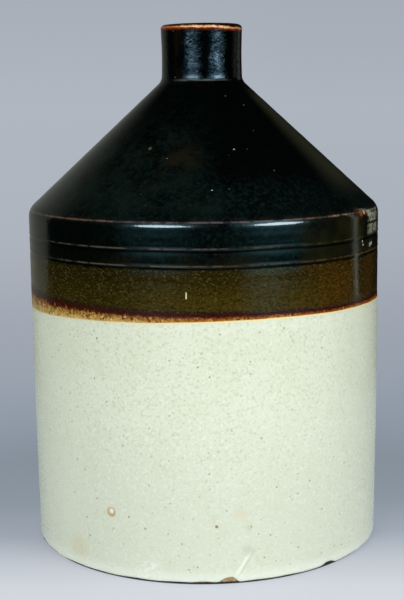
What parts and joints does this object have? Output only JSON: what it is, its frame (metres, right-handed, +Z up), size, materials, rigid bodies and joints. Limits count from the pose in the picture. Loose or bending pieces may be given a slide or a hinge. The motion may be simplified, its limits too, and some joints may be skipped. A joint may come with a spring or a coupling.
{
  "type": "stoneware jug",
  "caption": "Upright stoneware jug with a cone shoulder, a straight neck, a strap handle behind it, a pale glazed wall and a dark glazed top.",
  "frame": {"origin": "centre of the underside, on the surface that the jug stands on", "axes": "+Z up along the jug's axis, -Y towards the front of the jug, +Y towards the handle"},
  "size_m": [0.1788, 0.1788, 0.2603],
  "materials": {
    "stoneware_clay": "dry unglazed fired clay",
    "white_glaze": "glossy cream-white glaze with fine specks",
    "ochre_glaze": "mottled ochre and red-brown glaze edge",
    "dark_glaze": "glossy black-brown slip glaze",
    "liner_glaze": "brown slip glaze"
  },
  "bodies": {
    "root": {"jug_body": "stoneware_clay", "seam_slip": "stoneware_clay", "shoulder_cone": "stoneware_clay", "neck_collar": "stoneware_clay", "strap_handle": "stoneware_clay", "handle_top_pad": "dark_glaze", "handle_foot_pad": "dark_glaze", "white_glaze": "white_glaze", "glaze_line": "ochre_glaze", "shoulder_glaze": "dark_glaze", "neck_glaze": "dark_glaze", "handle_glaze": "dark_glaze", "body_liner": "liner_glaze", "cone_liner": "liner_glaze"}
  },
  "joints": []
}
